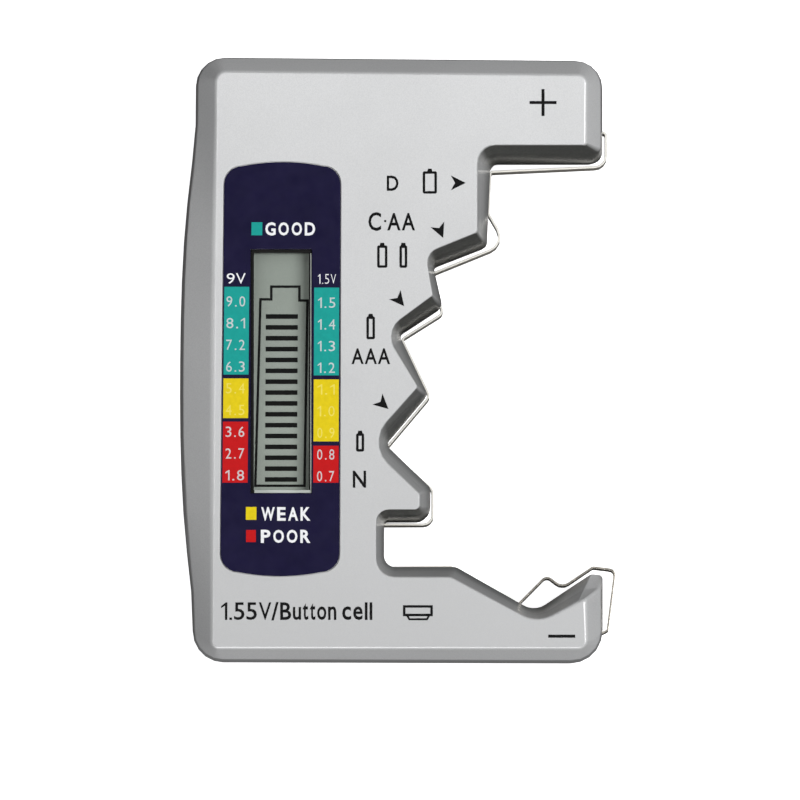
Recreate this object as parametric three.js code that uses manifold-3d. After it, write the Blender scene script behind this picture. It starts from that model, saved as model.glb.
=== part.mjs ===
// Pocket battery tester: a card-shaped case whose right side is cut into a stepped jaw for
// D, C, AA, AAA, N and button cells, with an LCD bar gauge behind a window in the face.
// Millimetres. The tester lies on its back: +Z is the face's normal, +Y its top edge, +X its jaw side.
// Origin: the centre of the outline on the back face.

import * as THREE from 'three';
import { mergeVertices } from 'three/addons/utils/BufferGeometryUtils.js';
import Module from 'manifold-3d';

const wasm = await Module();
wasm.setup();

// ---------------------------------------------------------------- driving dimensions

const CASE_DEPTH = 20;
const PARTING_Z = 10;              // lower rim of the front shell
const PARTING_GAP = 0.3;
const SHELL_FLOOR = 1.8;           // thickness of the face and of the back
const ARC_STEPS = 5;               // segments in each rounded corner
const SHORTEST_TANGENT = 0.12;     // keeps an almost straight corner's points apart
const BOW_STEPS = 14;              // segments along the bowed grip side
const BOW = { rise: 2.14, centreY: -1.5, halfLength: 38 };

// Corners of the case seen from the front, anticlockwise from the top left.
// Each has its place and radius at the parting plane (x, y, r) and on the face (fx, fy, fr).
// rim says which of its walls belong to the outer rim, which has a wide chamfer; the other walls
// line the jaw and have a plain draft.
const CORNERS = [
  { x: -30.8, y: 46.15, r: 4.4, fx: -27.45, fy: 43.3, fr: 1.3, rim: 'xy' }, // top left
  { x: -31.3, y: -45.95, r: 4.7, fx: -28.15, fy: -44.15, fr: 0.7, rim: 'xy' }, // bottom left
  { x: 31.1, y: -46.15, r: 4.9, fx: 28.45, fy: -44.2, fr: 1.0, rim: 'xy' }, // bottom right
  { x: 31.1, y: -32.8, r: 0.7, fx: 28.35, fy: -36.8, fr: 0.4, rim: 'x' },   // lower jaw, outer tip
  { x: 29.3, y: -32.65, r: 0.8, fx: 27.3, fy: -37.34, fr: 0.4, rim: '' },   // lower jaw, inner tip
  { x: 20.75, y: -38.35, r: 3.1, fx: 21.05, fy: -40.55, fr: 4.9, rim: '' }, // seat of the V
  { x: 8.8, y: -31.55, r: 1.5, fx: 7.9, fy: -33.5, fr: 2.5, rim: '' },      // end of the slot floor
  { x: -2.15, y: -31.55, r: 1.7, fx: -3.4, fy: -33.5, fr: 2.8, rim: '' },   // button slot, floor
  { x: -2.15, y: -24.5, r: 0.6, fx: -3.4, fy: -23.2, fr: 2.0, rim: '' },    // button slot, roof
  { x: 4.9, y: -24.5, r: 2.1, fx: 3.2, fy: -23.2, fr: 0.7, rim: '' },       // nose, lower
  { x: 4.9, y: -19.5, r: 1.0, fx: 3.2, fy: -20.9, fr: 0.7, rim: '' },       // nose, upper
  { x: -1.9, y: -12.9, r: 1.0, fx: -4.8, fy: -13.2, fr: 4.6, rim: '' },     // N notch
  { x: 4.5, y: -5.3, r: 1.0, fx: 2.95, fy: -4.55, fr: 0.6, rim: '' },       // between N and AAA
  { x: 0.1, y: 3.9, r: 1.0, fx: -2.2, fy: 3.9, fr: 3.3, rim: '' },          // AAA notch
  { x: 6.75, y: 8.1, r: 1.2, fx: 5.2, fy: 9.35, fr: 0.5, rim: '' },         // between AAA and AA
  { x: 5.35, y: 14.2, r: 0.8, fx: 4.1, fy: 15.8, fr: 2.4, rim: '' },        // AA and C notch
  { x: 13.5, y: 17.35, r: 1.0, fx: 11.95, fy: 18.95, fr: 0.6, rim: '' },    // between C and D
  { x: 14.05, y: 30.05, r: 1.4, fx: 11.95, fy: 32.3, fr: 2.8, rim: '' },    // D notch
  { x: 31.1, y: 30.05, r: 1.8, fx: 28.35, fy: 32.3, fr: 0.5, rim: 'x' },    // upper jaw, lower right
  { x: 31.1, y: 45.6, r: 4.2, fx: 28.45, fy: 42.75, fr: 1.1, rim: 'xy' },   // top right
];

// Outline rings of the shells: height z, bevel share of the jaw walls, bevel share of the rim.
// The walls stand upright up to the brow, which covers the contact strips from above.
const BROW = 12.5;
const FRONT_RINGS = [
  [PARTING_Z, 0, 0], [BROW, 0, 0], [15.9, 0.5, 0.1], [16.2, 0.54, 0.15], [19.45, 0.9, 0.84],
  [19.7, 0.945, 0.91], [19.88, 0.99, 0.985], [19.97, 1.04, 1.05], [CASE_DEPTH, 1.1, 1.1],
];
const REAR_RINGS = [
  [0, 0.72, 0.72], [0.25, 0.55, 0.55], [1.5, 0.2, 0.2], [PARTING_Z - PARTING_GAP, 0, 0],
];

// Scale label; lean is how far its left and right edges slant outwards towards the bottom.
const LABEL = {
  left: -26.7, right: -8.85, top: 29.65, bottom: -33.3, sag: 1.3, corner: 2.8, thickness: 0.25,
  leanLeft: 0.3, leanRight: 0.1,
};
const LABEL_RECESS = 0.3;
const WINDOW = { left: -22.42, right: -13.08, bottom: -20.75, top: 16.4 };
const RIM = 0.4;                   // black rim that lines the window
const FIT = 0.1;                   // play between pieces that face each other squarely

const BOARD = { left: -26.4, right: -7.9, bottom: -34.5, top: 34, low: 12.5, high: 13.7 };
const GLASS = { left: -25.2, right: -10.4, bottom: -24, top: 20, thickness: 0.7 };
const GLASS_TOP = 17.6;
const LEDGE = 2.4;                 // contact ledge of the front glass

const BOARD_POSTS = [[-24.0, 31.0], [-10.4, 31.0], [-24.0, -31.2], [-10.4, -31.2]];
const POST = { radius: 2.1, bore: 1.1, boreTop: 17.6 };
const CASE_SCREWS = [[-24.0, 39.5], [25.3, 38.0], [-24.0, -40.2], [25.2, -41.6]];
const BOSS_RADIUS = 2.5;
const PILOT = { radius: 1.2, top: 16.6 };
const COUNTERBORE = { radius: 2.2, depth: 2.3 };

const CLEARANCE = 0.3;             // between a contact and the shells
const STRIP = { low: 6, high: 11.6, thickness: 0.35 };
const LEAF = { low: 6, high: 11.6, thickness: 0.3 };
const LEAF_SLOT = { ...LEAF, thickness: 1.5 };
const ANCHOR = [15.0, -40.48];     // where the inner end of the spring leaf is gripped
// 9 V contact plates: pitch of the block's poles, height range, and half length along Y.
const NINE_VOLT = {
  pitch: 12.95, centreY: -1.5, face: -32.3, low: 3.0, high: 8.6, reach: 2.9, thickness: 0.35,
};

// ---------------------------------------------------------------- materials

function paint(color, roughness, metalness) {
  return new THREE.MeshStandardMaterial({ color, roughness, metalness });
}

const MATERIALS = {
  silver: paint(0xcbcacc, 0.42, 0.35),
  rear: paint(0xa9aaae, 0.5, 0.3),
  navy: paint(0x171338, 0.35, 0.0),
  clear: paint(0xdfe6e4, 0.06, 0.0),
  black: paint(0x0b0b0c, 0.5, 0.0),
  lcd: paint(0x9ba39b, 0.25, 0.0),
  reflector: paint(0xb9bdb6, 0.35, 0.5),
  zebra: paint(0x3a3a3e, 0.8, 0.0),
  foam: paint(0x2a2a2c, 0.95, 0.0),
  board: paint(0x1f6a3a, 0.45, 0.0),
  blob: paint(0x0a0a0a, 0.3, 0.0),
  resistor: paint(0xc9b48a, 0.5, 0.0),
  capacitor: paint(0x1c2a55, 0.35, 0.1),
  inductor: paint(0x2b2b2b, 0.6, 0.1),
  diode: paint(0x111113, 0.4, 0.0),
  nickel: paint(0xc8c6be, 0.25, 1.0),
  spring: paint(0xb9b6ad, 0.28, 1.0),
  screw: paint(0x8f9093, 0.35, 1.0),
  red: paint(0xb3191c, 0.5, 0.0),
  blackWire: paint(0x141414, 0.5, 0.0),
};

// ---------------------------------------------------------------- outlines

function mix(a, b, t) {
  return a + (b - a) * t;
}

// One corner of a path as an arc of `steps` segments; the radius shrinks if an edge is too short.
function cornerArc(before, corner, after, steps) {
  const into = new THREE.Vector2(corner.x - before.x, corner.y - before.y);
  const out = new THREE.Vector2(after.x - corner.x, after.y - corner.y);
  const room = 0.49 * Math.min(into.length(), out.length());
  into.normalize();
  out.normalize();
  const turn = Math.atan2(into.cross(out), into.dot(out));
  const bend = Math.tan(Math.abs(turn) / 2);
  const tangent = Math.min(Math.max(corner.r * bend, SHORTEST_TANGENT), room);
  const start = new THREE.Vector2(corner.x, corner.y).addScaledVector(into, -tangent);
  const points = [];
  for (let i = 0; i <= steps; i += 1) {
    if (bend < 0.002) {
      points.push(start.clone().addScaledVector(into, 2 * tangent * i / steps));
      continue;
    }
    const radius = tangent / bend;
    const angle = turn * i / steps;
    const side = Math.sign(turn) * radius;
    const along = side * Math.sin(angle);
    const across = side * (1 - Math.cos(angle));
    const point = start.clone().addScaledVector(into, along);
    point.addScaledVector(new THREE.Vector2(-into.y, into.x), across);
    points.push(point);
  }
  return points;
}

// Rise of the grip side beyond its chord: flat in the middle, easing out at both ends.
function bowRise(y) {
  const u = Math.min(1, Math.abs(y - BOW.centreY) / BOW.halfLength);
  return BOW.rise * (1 - u ** 2.4) * (1 - u ** 6);
}

// The case outline where the jaw walls have reached bevel share `jaw` and the rim bevel share `rim`:
// 0 is the parting plane and 1 the edge of the face.
function caseOutline(jaw, rim = jaw) {
  const corners = CORNERS.map((c) => {
    const sideways = c.rim.includes('x') ? rim : jaw;
    const upright = c.rim.includes('y') ? rim : jaw;
    return {
      x: mix(c.x, c.fx, sideways),
      y: mix(c.y, c.fy, upright),
      r: Math.max(0.25, mix(c.r, c.fr, upright)),
    };
  });
  const count = corners.length;
  const points = [];
  corners.forEach((corner, i) => {
    const arc = cornerArc(corners[(i + count - 1) % count], corner, corners[(i + 1) % count], ARC_STEPS);
    points.push(...arc);
    if (i > 0) return;
    const top = arc[ARC_STEPS];
    const bottom = cornerArc(corner, corners[1], corners[2], ARC_STEPS)[0];
    for (let k = 1; k < BOW_STEPS; k += 1) {
      const y = mix(top.y, bottom.y, k / BOW_STEPS);
      const x = mix(top.x, bottom.x, k / BOW_STEPS) - bowRise(y) * Math.max(0, 1 - rim);
      points.push(new THREE.Vector2(x, y));
    }
  });
  return points;
}

function outlineRing([z, jaw, rim]) {
  return { points: caseOutline(jaw, rim), z };
}

function rectangle(left, bottom, right, top) {
  const corners = [[left, bottom], [right, bottom], [right, top], [left, top]];
  return corners.map(([x, y]) => new THREE.Vector2(x, y));
}

// The label's outline: straight sides, ends with a shallow crown and rounded corners.
function labelOutline(play) {
  const { left, right, top, bottom, sag, corner } = LABEL;
  const middle = (left + right) / 2;
  const half = (right - left) / 2 + play;
  const crown = (x, level, sign) => level + sign * (play - sag * ((x - middle) / half) ** 2);
  const points = [];
  for (const [level, sign] of [[bottom, -1], [top, 1]]) {
    for (let i = 0; i <= 10; i += 1) {
      const x = middle - sign * mix(-1, 1, i / 10) * (half - corner);
      const arc = { x: middle - sign * mix(-1, 1, i / 10) * half };
      const y = crown(x, level, sign);
      if (i === 0 || i === 10) {
        const drop = [0, 1, 2, 3, 4, 5, 6].map((s) => {
          const a = s * Math.PI / 12;
          const px = mix(arc.x, x, 1 - Math.sin(a));
          const py = y - sign * corner * (1 - Math.cos(a));
          return new THREE.Vector2(px, py);
        });
        points.push(...(i === 0 ? drop.reverse() : drop));
      } else {
        points.push(new THREE.Vector2(x, y));
      }
    }
  }
  return points.map((p) => {
    const across = (p.x - left) / (right - left);
    const down = ((top + bottom) / 2 - p.y) / (top - bottom) * 2;
    return new THREE.Vector2(p.x - down * mix(LABEL.leanLeft, LABEL.leanRight, across), p.y);
  });
}

// ---------------------------------------------------------------- solids

// Closed solid through rings of matching points; each ring is { points, z }, lowest first.
function loft(rings) {
  const count = rings[0].points.length;
  const positions = [];
  rings.forEach(({ points, z }) => points.forEach((p) => positions.push(p.x, p.y, z)));
  const index = [];
  for (let k = 0; k + 1 < rings.length; k += 1) {
    for (let i = 0; i < count; i += 1) {
      const a = k * count + i;
      const b = k * count + (i + 1) % count;
      index.push(a, b, b + count, a, b + count, a + count);
    }
  }
  const last = (rings.length - 1) * count;
  const floor = THREE.ShapeUtils.triangulateShape(rings[0].points, []);
  const roof = THREE.ShapeUtils.triangulateShape(rings[rings.length - 1].points, []);
  floor.forEach(([a, b, c]) => index.push(a, c, b));
  roof.forEach(([a, b, c]) => index.push(last + a, last + b, last + c));
  const geometry = new THREE.BufferGeometry();
  geometry.setAttribute('position', new THREE.Float32BufferAttribute(positions, 3));
  geometry.setIndex(index);
  return geometry;
}

function prism(points, low, high) {
  return loft([{ points, z: low }, { points, z: high }]);
}

function block(left, bottom, low, right, top, high) {
  return prism(rectangle(left, bottom, right, top), low, high);
}

function rod(x, y, low, high, radius, sides = 16) {
  const geometry = new THREE.CylinderGeometry(radius, radius, high - low, sides);
  geometry.rotateX(Math.PI / 2);
  geometry.translate(x, y, (low + high) / 2);
  return geometry;
}

// Centre line of a bent strip: inner points carry the bend radius.
function bentLine(path, steps = 4) {
  const nodes = path.map(([x, y, r = 0.3]) => ({ x, y, r }));
  const line = [new THREE.Vector2(nodes[0].x, nodes[0].y)];
  for (let i = 1; i + 1 < nodes.length; i += 1) {
    line.push(...cornerArc(nodes[i - 1], nodes[i], nodes[i + 1], steps));
  }
  const end = nodes[nodes.length - 1];
  line.push(new THREE.Vector2(end.x, end.y));
  return line;
}

// Outline of a strip seen edge on: the centre line thickened to both sides.
function thicken(line, thickness, extra = 0) {
  const half = thickness / 2 + extra;
  const sides = [[], []];
  line.forEach((point, i) => {
    const before = line[Math.max(0, i - 1)];
    const after = line[Math.min(line.length - 1, i + 1)];
    const into = point.clone().sub(before).normalize();
    const out = after.clone().sub(point).normalize();
    if (i === 0) into.copy(out);
    if (i === line.length - 1) out.copy(into);
    const normal = new THREE.Vector2(-into.y - out.y, into.x + out.x).normalize();
    const miter = half / Math.max(0.4, normal.dot(new THREE.Vector2(-into.y, into.x)));
    const overrun = i === 0 ? -extra : (i === line.length - 1 ? extra : 0);
    const centre = point.clone().addScaledVector(into, overrun);
    sides[0].push(centre.clone().addScaledVector(normal, -miter));
    sides[1].push(centre.clone().addScaledVector(normal, miter));
  });
  return [...sides[0], ...sides[1].reverse()];
}

function strip(path, { thickness, low, high } = STRIP) {
  return prism(thicken(bentLine(path), thickness), low, high);
}

// The space a strip needs in the shells; its bends are wide enough for its own half width.
function stripChannel(path, { thickness, low, high } = STRIP) {
  const gap = CLEARANCE;
  const tightest = thickness / 2 + gap + 0.05;
  const eased = path.map(([x, y, r = 0.3]) => [x, y, Math.max(r, tightest)]);
  return prism(thicken(bentLine(eased), thickness, gap), low - gap, high + gap);
}

function wire(points, radius) {
  const curve = new THREE.CatmullRomCurve3(points.map((p) => new THREE.Vector3(...p)));
  const section = new THREE.Shape();
  const sides = 8;
  for (let i = 0; i < sides; i += 1) {
    const angle = 2 * Math.PI * i / sides;
    const place = [radius * Math.cos(angle), radius * Math.sin(angle)];
    if (i === 0) section.moveTo(...place);
    else section.lineTo(...place);
  }
  return new THREE.ExtrudeGeometry(section, { steps: 14, bevelEnabled: false, extrudePath: curve });
}

// ---------------------------------------------------------------- joining and cutting

function toManifold(geometry) {
  const bare = geometry.clone();
  bare.deleteAttribute('normal');
  bare.deleteAttribute('uv');
  const merged = mergeVertices(bare, 1e-4);
  const mesh = new wasm.Mesh({
    numProp: 3,
    vertProperties: new Float32Array(merged.attributes.position.array),
    triVerts: new Uint32Array(merged.index.array),
  });
  return new wasm.Manifold(mesh);
}

function toGeometry(manifold) {
  const mesh = manifold.getMesh();
  const geometry = new THREE.BufferGeometry();
  geometry.setAttribute('position', new THREE.BufferAttribute(mesh.vertProperties, 3));
  geometry.setIndex(new THREE.BufferAttribute(mesh.triVerts, 1));
  return geometry;
}

function join(first, ...others) {
  return others.reduce((sum, next) => sum.add(toManifold(next)), toManifold(first));
}

function cut(body, ...tools) {
  return tools.reduce((rest, tool) => rest.subtract(toManifold(tool)), body);
}

// ---------------------------------------------------------------- paths of the contact strips

// Positive contact: one nickel strip that lines the whole stepped jaw. It stands a little proud
// under each step, where a cell's positive end meets it, bulges below the D step, and runs
// sunk into the walls in between.
const POSITIVE_PATH = [
  [28.25, 32.4], [28.25, 34.75], [31.63, 34.75, 0.5], [31.63, 29.55, 1.7],
  [14.05, 28.75, 0.4], [13.72, 22.35, 1.0], [16.4, 17.75, 2.4],
  [5.28, 13.24, 0.4], [6.75, 7.1, 0.9], [0.58, 3.23, 0.4], [4.78, -5.55, 1.1],
  [-1.81, -13.38, 0.4], [5.2, -19.8, 1.0], [5.2, -25.05, 1.4], [-5.0, -25.05, 0.4], [-5.0, -20.6],
];

// Negative contact for button cells: floor strip that dives into the case.
const BUTTON_PATH = [[-1.3, -31.62], [8.35, -31.42, 0.6], [8.75, -39.6, 1.0], [14.2, -40.9]];

const LEAF_SLOT_END = [21.5, -33.98];
const HOOK_SLOT = { left: 28.2, bottom: -43.2, right: 33.5, top: -40.4 };

// Clip at its inner end that grips the spring leaf; it opens along the leaf.
const LEAF_ANGLE = Math.PI / 4;
const CLIP_PATH = [[2.4, 0.8], [-0.8, 0.8], [-0.8, -0.8], [2.4, -0.8]].map(([along, across]) => [
  ANCHOR[0] + along * Math.cos(LEAF_ANGLE) - across * Math.sin(LEAF_ANGLE),
  ANCHOR[1] + along * Math.sin(LEAF_ANGLE) + across * Math.cos(LEAF_ANGLE),
]);

// Spring loop: leaves the V, peaks, seats the cell's base, then hooks into the right wall.
const SPRING_PATH = [
  ANCHOR, [22.55, -32.85, 0.9], [24.95, -34.67, 1.6], [29.6, -31.54, 0.7],
  [33.0, -31.97, 0.8], [31.85, -41.15, 0.25], [30.4, -41.88],
];

// 9 V contacts: a plate in the rear shell's grip side with a leg bent through the wall.
function nineVoltPath(centreY) {
  const { face, reach } = NINE_VOLT;
  return [
    [face + 4.6, centreY + reach + 2.2], [face + 4.6, centreY + reach, 0.4], [face, centreY + reach, 0.4],
    [face, centreY - reach, 0.4], [face + 0.9, centreY - reach],
  ];
}
const NINE_VOLT_CENTRES = [0.5, -0.5].map((side) => NINE_VOLT.centreY + side * NINE_VOLT.pitch);

// ---------------------------------------------------------------- case shells

// Room the shells must leave for the contacts, common to both of them.
function contactRoom() {
  const room = [stripChannel(POSITIVE_PATH), stripChannel(BUTTON_PATH), stripChannel(CLIP_PATH)];
  // The leaf swings about its grip and its hook in the right wall, so both slots are wider than it.
  room.push(stripChannel([ANCHOR, LEAF_SLOT_END], LEAF_SLOT));
  const { left, bottom, right, top } = HOOK_SLOT;
  room.push(block(left, bottom, LEAF.low - CLEARANCE, right, top, LEAF.high + CLEARANCE));
  NINE_VOLT_CENTRES.forEach((y) => {
    const half = NINE_VOLT.reach + 0.4;
    room.push(stripChannel(nineVoltPath(y), NINE_VOLT));
    const low = NINE_VOLT.low - CLEARANCE;
    room.push(block(-34, y - half, low, NINE_VOLT.face + 0.2, y + half, NINE_VOLT.high + CLEARANCE));
  });
  return room;
}

function screwBosses(low, high) {
  return CASE_SCREWS.map(([x, y]) => rod(x, y, low, high, BOSS_RADIUS, 20));
}

// The hollows follow the outside at a wall's thickness; their ends run past the parting plane.
const FRONT_HOLLOW = [
  [PARTING_Z - 1, 0.75, 0.7], [PARTING_Z + 1, 0.75, 0.7], [15, 1.1, 0.8],
  [CASE_DEPTH - SHELL_FLOOR, 1.5, 1.5],
];
const REAR_HOLLOW = [[SHELL_FLOOR, 1.0, 0.95], [PARTING_Z - 1, 0.75, 0.7], [PARTING_Z + 1, 0.75, 0.7]];

function frontShell() {
  const posts = BOARD_POSTS.map(([x, y]) => rod(x, y, BOARD.high + FIT, CASE_DEPTH - 1, POST.radius));
  const hollow = cut(
    toManifold(loft(FRONT_HOLLOW.map(outlineRing))), ...screwBosses(PARTING_Z - 2, CASE_DEPTH), ...posts);
  const pilots = [
    ...CASE_SCREWS.map(([x, y]) => rod(x, y, PARTING_Z - 2, PILOT.top, PILOT.radius, 12)),
    ...BOARD_POSTS.map(([x, y]) => rod(x, y, PARTING_Z, POST.boreTop, POST.bore, 12)),
  ];
  const face = [
    prism(labelOutline(0.12), CASE_DEPTH - LABEL_RECESS, CASE_DEPTH + 1),
    block(WINDOW.left, WINDOW.bottom, CASE_DEPTH - 3, WINDOW.right, WINDOW.top, CASE_DEPTH + 1),
  ];
  const solid = toManifold(loft(FRONT_RINGS.map(outlineRing))).subtract(hollow);
  return toGeometry(cut(solid, ...pilots, ...face, ...contactRoom()));
}

function rearShell() {
  const bosses = screwBosses(0, PARTING_Z - PARTING_GAP);
  const hollow = cut(toManifold(loft(REAR_HOLLOW.map(outlineRing))), ...bosses);
  const bores = CASE_SCREWS.flatMap(([x, y]) => [
    rod(x, y, -1, COUNTERBORE.depth, COUNTERBORE.radius, 20),
    rod(x, y, 1, PARTING_Z + 2, PILOT.radius, 12),
  ]);
  const solid = toManifold(loft(REAR_RINGS.map(outlineRing))).subtract(hollow);
  return toGeometry(cut(solid, ...bores, ...contactRoom()));
}

// ---------------------------------------------------------------- display

function displayLabel() {
  const low = CASE_DEPTH - LABEL_RECESS + 0.03;
  const plate = toManifold(prism(labelOutline(0), low, low + LABEL.thickness));
  const hole = block(WINDOW.left, WINDOW.bottom, 18, WINDOW.right, WINDOW.top, 21);
  return toGeometry(cut(plate, hole));
}

function lcdBezel() {
  const plate = block(GLASS.left, GLASS.bottom, GLASS_TOP + FIT, GLASS.right, GLASS.top, 18.1);
  const outer = rectangle(WINDOW.left + FIT, WINDOW.bottom + FIT, WINDOW.right - FIT, WINDOW.top - FIT);
  const inset = FIT + RIM;
  const hole = block(
    WINDOW.left + inset, WINDOW.bottom + inset, 17, WINDOW.right - inset, WINDOW.top - inset, 21);
  return toGeometry(cut(join(plate, prism(outer, 17.8, 19.6)), hole));
}

function windowLens() {
  const inset = 2 * FIT + RIM;
  return block(
    WINDOW.left + inset, WINDOW.bottom + inset, 18.5, WINDOW.right - inset, WINDOW.top - inset, 19.3);
}

function glassPlate(bottom, top, z) {
  return block(GLASS.left, bottom, z - top, GLASS.right, GLASS.top, z);
}

// ---------------------------------------------------------------- circuit board and its parts

function circuitBoard() {
  const { left, bottom, low, right, top, high } = BOARD;
  const holes = BOARD_POSTS.map(([x, y]) => rod(x, y, low - 1, high + 1, POST.bore, 12));
  return toGeometry(cut(toManifold(block(left, bottom, low, right, top, high)), ...holes));
}

// Turned piece standing on end; the profile lists radius and height.
function turned(profile, sides = 16) {
  const points = profile.map(([r, h]) => new THREE.Vector2(r, h));
  const geometry = new THREE.LatheGeometry(points, sides);
  geometry.rotateX(Math.PI / 2);
  return geometry;
}

// Screw driven upwards from behind: head low, shank high.
function screw(headRadius, headHeight, shankRadius, length) {
  const slot = headRadius * 0.7;
  const profile = [
    [0, 0], [headRadius * 0.85, 0], [headRadius, headHeight * 0.35], [headRadius, headHeight],
    [shankRadius, headHeight], [shankRadius, length - 0.8], [shankRadius * 0.3, length], [0, length],
  ];
  const body = toManifold(turned(profile));
  const bars = [[slot, 0.28], [0.28, slot]].map(([w, h]) => block(-w, -h, -1, w, h, headHeight * 0.5));
  return toGeometry(cut(body, ...bars));
}

function lyingCylinder(radius, length) {
  const bevel = radius * 0.15;
  const end = length / 2;
  const profile = [
    [0, -end], [radius - bevel, -end], [radius, bevel - end],
    [radius, end - bevel], [radius - bevel, end], [0, end],
  ];
  return turned(profile, 14).rotateX(Math.PI / 2);
}

// ---------------------------------------------------------------- the assembly

const tester = new THREE.Group();

function add(name, geometry, material, place = [0, 0, 0]) {
  const mesh = new THREE.Mesh(geometry, material.clone());
  mesh.name = name;
  mesh.position.set(...place);
  tester.add(mesh);
  return mesh;
}

add('front_shell', frontShell(), MATERIALS.silver);
add('rear_shell', rearShell(), MATERIALS.rear);
CASE_SCREWS.forEach(([x, y], i) => {
  add(`case_screw_${i + 1}`, screw(1.85, 1.5, 0.85, 14), MATERIALS.screw, [x, y, 0.5]);
});

add('display_label', displayLabel(), MATERIALS.navy);
add('window_lens', windowLens(), MATERIALS.clear);
add('lcd_bezel', lcdBezel(), MATERIALS.black);
add('lcd_front_glass', glassPlate(GLASS.bottom, GLASS.thickness, GLASS_TOP), MATERIALS.lcd);
const rearGlassTop = GLASS_TOP - GLASS.thickness - FIT;
add('lcd_rear_glass', glassPlate(GLASS.bottom + LEDGE, GLASS.thickness, rearGlassTop), MATERIALS.lcd);
const reflectorTop = rearGlassTop - GLASS.thickness - FIT;
add('lcd_reflector', glassPlate(GLASS.bottom + LEDGE, 0.2, reflectorTop), MATERIALS.reflector);
const foamTop = reflectorTop - 0.2 - FIT;
add('lcd_foam_pad',
  block(GLASS.left + 1, GLASS.bottom + LEDGE + 1, BOARD.high + FIT, GLASS.right - 1, GLASS.top - 1, foamTop),
  MATERIALS.foam);
add('zebra_connector',
  block(GLASS.left + 1, GLASS.bottom + 0.3, BOARD.high + FIT, GLASS.right - 1, GLASS.bottom + LEDGE - 0.3,
    GLASS_TOP - GLASS.thickness - FIT),
  MATERIALS.zebra);

add('circuit_board', circuitBoard(), MATERIALS.board);
BOARD_POSTS.forEach(([x, y], i) => {
  add(`board_screw_${i + 1}`, screw(1.6, 1.1, 0.75, 5.4), MATERIALS.screw, [x, y, BOARD.low - 1.1 - FIT]);
});
const underBoard = BOARD.low - FIT;
const BLOB = [[0, -1.4], [2.2, -1.25], [3.6, -0.75], [4.3, 0], [0, 0]];
const INDUCTOR = [
  [0, -4], [2.6, -4], [2.6, -3.2], [1.9, -3.0], [1.9, -1.0], [2.6, -0.8], [2.6, 0], [0, 0],
];
const CAPACITOR = [
  [0, -5.4], [1.9, -5.4], [2.1, -5.2], [2.1, -0.9], [1.9, -0.7], [2.1, -0.5], [2.1, 0], [0, 0],
];
add('controller_blob', turned(BLOB, 20), MATERIALS.blob, [-17, 12, underBoard]);
add('load_resistor_a', lyingCylinder(1.2, 6.5), MATERIALS.resistor, [-21.5, -14, underBoard - 1.3]);
add('load_resistor_b', lyingCylinder(1.2, 6.5), MATERIALS.resistor, [-17.5, -14, underBoard - 1.3]);
add('boost_inductor', turned(INDUCTOR), MATERIALS.inductor, [-12, -2, underBoard]);
add('filter_capacitor', turned(CAPACITOR), MATERIALS.capacitor, [-21.5, -3, underBoard]);
add('signal_diode', lyingCylinder(0.8, 3.6), MATERIALS.diode, [-12.5, -14, underBoard - 0.9]);

add('positive_contact_strip', strip(POSITIVE_PATH), MATERIALS.nickel);
add('button_cell_contact', toGeometry(join(strip(BUTTON_PATH), strip(CLIP_PATH))), MATERIALS.nickel);
add('negative_spring_contact', strip(SPRING_PATH, LEAF), MATERIALS.spring);
const poles = ['nine_volt_positive_contact', 'nine_volt_negative_contact'];
poles.forEach((name, i) => {
  add(name, strip(nineVoltPath(NINE_VOLT_CENTRES[i]), NINE_VOLT), MATERIALS.nickel);
});

// Leads from the contacts to the board's lower side.
const LEAD_RADIUS = 0.55;
const LEADS = [
  ['positive_lead', MATERIALS.red,
    [[-5.9, -22.0, 9.5], [-7.0, -20.5, 10.5], [-9.0, -20.0, 11.3], [-11.0, -20.2, 11.75]]],
  ['negative_lead', MATERIALS.blackWire,
    [[7.6, -36.4, 8.5], [3.0, -37.6, 8.0], [-6.0, -33.5, 9.0], [-11.5, -26.0, 11.0], [-13.5, -24.0, 11.75]]],
  ['nine_volt_positive_lead', MATERIALS.red,
    [[-26.8, 9.6, 6.4], [-25.4, 11.5, 7.0], [-23.5, 15.0, 10.0], [-22.5, 18.0, 11.75]]],
  ['nine_volt_negative_lead', MATERIALS.blackWire,
    [[-26.8, -3.6, 6.4], [-25.8, -8.0, 7.0], [-24.8, -18.0, 10.0], [-22.5, -21.0, 11.75]]],
];
LEADS.forEach(([name, material, route]) => add(name, wire(route, LEAD_RADIUS), material));

export default tester;
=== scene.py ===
import math

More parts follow.
